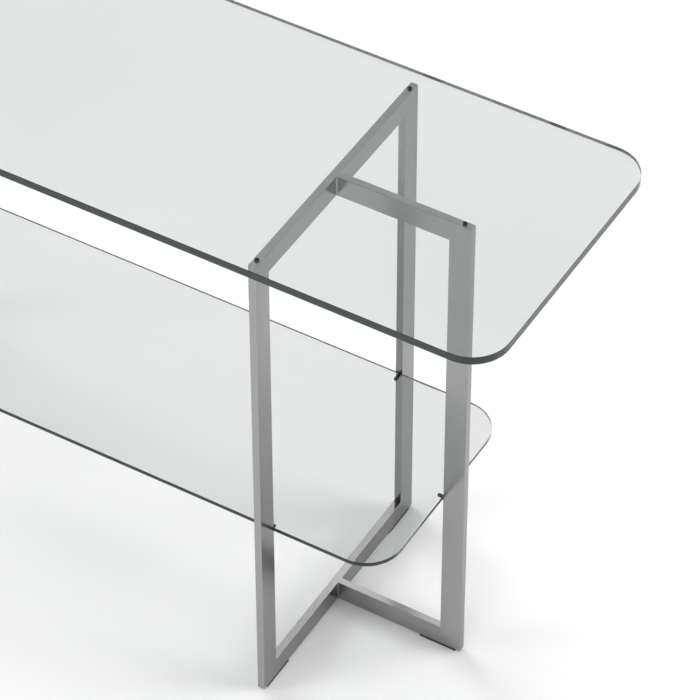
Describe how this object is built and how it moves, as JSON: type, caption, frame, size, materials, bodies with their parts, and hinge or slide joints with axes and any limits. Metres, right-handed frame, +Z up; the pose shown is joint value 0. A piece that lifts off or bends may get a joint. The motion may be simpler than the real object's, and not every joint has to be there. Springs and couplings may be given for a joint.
{
  "type": "console table",
  "caption": "Two-tier console table: a clear glass top and a lower glass shelf with rounded corners, carried by T-plan bases of satin steel flat bar.",
  "frame": {"origin": "on the floor, under the middle of the table", "axes": "+X along the table towards its right end, -Y towards its front, +Z up"},
  "size_m": [1.4, 0.41, 0.7565],
  "materials": {
    "clear_glass": "clear float glass with a faint grey tint, edges dark grey-green",
    "satin_steel": "satin",
    "pin_steel": "turned",
    "black_rubber": "moulded, semi-matt",
    "foot_rubber": "matt sheet"
  },
  "bodies": {
    "root": {"top_glass": "clear_glass", "shelf_glass": "clear_glass", "left_front_leg": "satin_steel", "left_back_leg": "satin_steel", "left_outer_leg": "satin_steel", "left_top_rail": "satin_steel", "left_bottom_rail": "satin_steel", "left_top_arm": "satin_steel", "left_bottom_arm": "satin_steel", "left_front_buffer": "black_rubber", "left_front_shelf_pin": "pin_steel", "left_front_pin_sleeve": "black_rubber", "left_front_foot_pad": "foot_rubber", "left_back_buffer": "black_rubber", "left_back_shelf_pin": "pin_steel", "left_back_pin_sleeve": "black_rubber", "left_back_foot_pad": "foot_rubber", "left_outer_buffer": "black_rubber", "left_outer_shelf_pin": "pin_steel", "left_outer_pin_sleeve": "black_rubber", "left_outer_foot_pad": "foot_rubber", "right_front_leg": "satin_steel", "right_back_leg": "satin_steel", "right_outer_leg": "satin_steel", "right_top_rail": "satin_steel", "right_bottom_rail": "satin_steel", "right_top_arm": "satin_steel", "right_bottom_arm": "satin_steel", "right_front_buffer": "black_rubber", "right_front_shelf_pin": "pin_steel", "right_front_pin_sleeve": "black_rubber", "right_front_foot_pad": "foot_rubber", "right_back_buffer": "black_rubber", "right_back_shelf_pin": "pin_steel", "right_back_pin_sleeve": "black_rubber", "right_back_foot_pad": "foot_rubber", "right_outer_buffer": "black_rubber", "right_outer_shelf_pin": "pin_steel", "right_outer_pin_sleeve": "black_rubber", "right_outer_foot_pad": "foot_rubber"}
  },
  "joints": []
}
